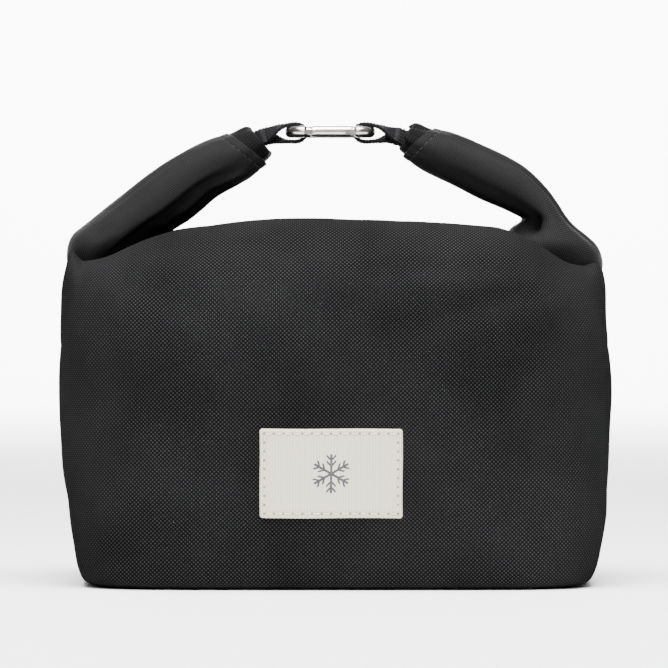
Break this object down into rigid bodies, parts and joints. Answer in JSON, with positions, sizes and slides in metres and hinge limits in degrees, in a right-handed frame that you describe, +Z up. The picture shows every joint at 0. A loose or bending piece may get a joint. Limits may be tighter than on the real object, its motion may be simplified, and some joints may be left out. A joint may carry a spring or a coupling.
{
  "type": "insulated cooler bag",
  "caption": "Soft pillow-shaped insulated lunch bag, roll-top, whose rolled ends turn up into a carrying handle closed by a sprung metal snap hook.",
  "frame": {"origin": "centre of the bag's base, on the surface it stands on", "axes": "+Z up, +X along the bag's width to the right seen from the front, -Y towards the front with the label"},
  "size_m": [0.2604, 0.1569, 0.2172],
  "materials": {
    "outer_fabric": "matte plain-weave polyester",
    "rolled_layers": "matte plain-weave polyester, rolled",
    "hem": "turned and stitched edge",
    "foam": "closed-cell foam",
    "lining": "heat-sealed silver lining",
    "label": "woven ribbed cotton",
    "webbing": "ribbed nylon webbing",
    "thread": "polyester thread",
    "steel": "satin polished",
    "spring_steel": "bright wire"
  },
  "bodies": {
    "bag": {"outer_front_panel": "outer_fabric", "outer_back_panel": "outer_fabric", "foam_front": "foam", "foam_back": "foam", "foam_base": "foam", "foil_lining_front": "lining", "foil_lining_back": "lining", "label_patch": "label", "rolled_rim": "outer_fabric", "rolled_rim_core": "rolled_layers", "left_corner_fold": "outer_fabric", "right_corner_fold": "outer_fabric", "left_corner_core": "rolled_layers", "right_corner_core": "rolled_layers"},
    "left_handle": {"left_handle_sleeve": "outer_fabric", "left_handle_core": "rolled_layers", "left_rim_hem": "hem", "left_webbing_loop": "webbing", "left_bar_tack": "thread"},
    "right_handle": {"right_handle_sleeve": "outer_fabric", "right_handle_core": "rolled_layers", "right_rim_hem": "hem", "right_webbing_loop": "webbing", "right_bar_tack": "thread"},
    "snap_hook": {"hook_body": "steel", "gate_pivot_pin": "steel"},
    "gate": {"hook_gate": "steel", "gate_plunger": "steel", "gate_spring": "spring_steel"}
  },
  "joints": [
    {"name": "handle_swing", "type": "hinge", "parent": "bag", "child": "left_handle", "pos_m": [-0.086, 0, 0.176], "axis": [1, 0, 0], "range_deg": [-60, 60]},
    {"name": "right_handle_swing", "type": "hinge", "parent": "bag", "child": "right_handle", "pos_m": [0.086, 0, 0.176], "axis": [1, 0, 0], "range_deg": [-60, 60]},
    {"name": "hook_roll", "type": "hinge", "parent": "left_handle", "child": "snap_hook", "pos_m": [-0.0025, 0, 0.212], "axis": [1, 0, 0], "range_deg": [-8, 8]},
    {"name": "gate_open", "type": "hinge", "parent": "snap_hook", "child": "gate", "pos_m": [0.0054, -0.00775, 0.212], "axis": [0, 0, -1], "range_deg": [0, 24], "stiffness_Nm_per_rad": 0.02, "springref_deg": -17.19}
  ],
  "couplings": [
    {"joint": "right_handle_swing", "follows": "handle_swing", "ratio": 1}
  ]
}
